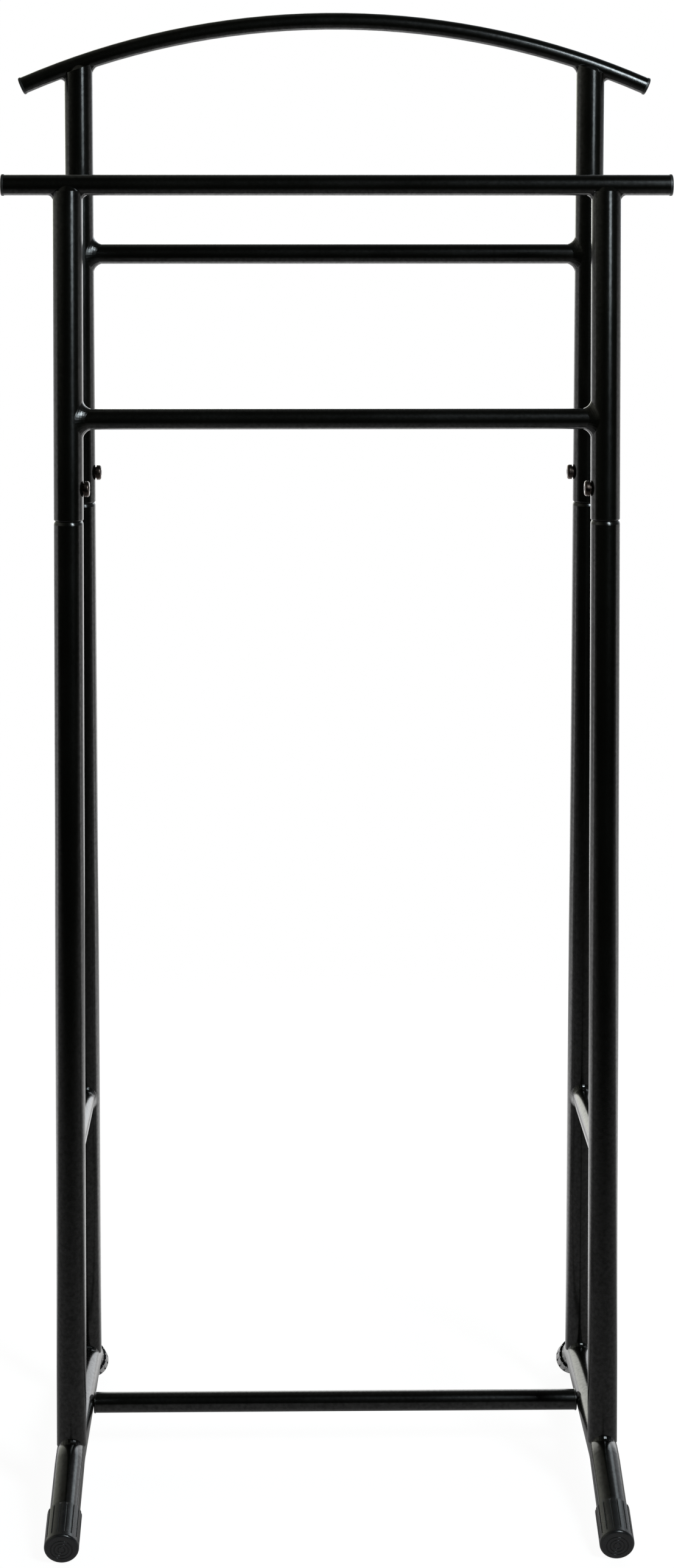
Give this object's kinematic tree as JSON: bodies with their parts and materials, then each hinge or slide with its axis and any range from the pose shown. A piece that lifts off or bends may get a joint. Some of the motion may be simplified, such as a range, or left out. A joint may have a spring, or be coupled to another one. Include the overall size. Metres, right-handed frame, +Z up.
{
  "type": "valet stand",
  "caption": "Free-standing valet stand of black tube with a bowed hanger rail, cross rails for trousers and ties, a bottom rail and sloping feet.",
  "frame": {"origin": "on the floor, under the middle of the stand's box", "axes": "+Z up along the uprights, +Y to the rear, +X to the right of someone facing the stand"},
  "size_m": [0.45, 0.322, 1.0169],
  "materials": {
    "powder_coat": "satin to gloss powder coat",
    "rubber_cap": "smooth matte",
    "plastic_cap": "moulded, satin",
    "screw": "dark bronze plating, glossy",
    "zinc_steel": "zinc plated"
  },
  "bodies": {
    "root": {"left_base_tube": "powder_coat", "right_base_tube": "powder_coat", "front_left_lower_upright": "powder_coat", "front_right_lower_upright": "powder_coat", "rear_left_lower_upright": "powder_coat", "rear_right_lower_upright": "powder_coat", "left_side_rail": "powder_coat", "right_side_rail": "powder_coat", "bottom_rail": "powder_coat", "front_left_upper_upright": "powder_coat", "front_right_upper_upright": "powder_coat", "front_top_rail": "powder_coat", "front_mid_rail": "powder_coat", "rear_left_upper_upright": "powder_coat", "rear_right_upper_upright": "powder_coat", "hanger_rail": "powder_coat", "rear_rail": "powder_coat", "front_left_foot_cap": "rubber_cap", "front_right_foot_cap": "rubber_cap", "rear_left_foot_cap": "rubber_cap", "rear_right_foot_cap": "rubber_cap", "front_rail_left_end_cap": "plastic_cap", "front_rail_right_end_cap": "plastic_cap", "hanger_rail_left_end_cap": "plastic_cap", "hanger_rail_right_end_cap": "plastic_cap", "front_left_joint_screw": "screw", "front_right_joint_screw": "screw", "rear_left_joint_screw": "screw", "rear_right_joint_screw": "screw", "front_left_joint_nut": "zinc_steel", "front_right_joint_nut": "zinc_steel", "rear_left_joint_nut": "zinc_steel", "rear_right_joint_nut": "zinc_steel", "left_bottom_rail_screw": "screw", "right_bottom_rail_screw": "screw", "left_bottom_rail_plug": "zinc_steel", "right_bottom_rail_plug": "zinc_steel"}
  },
  "joints": []
}
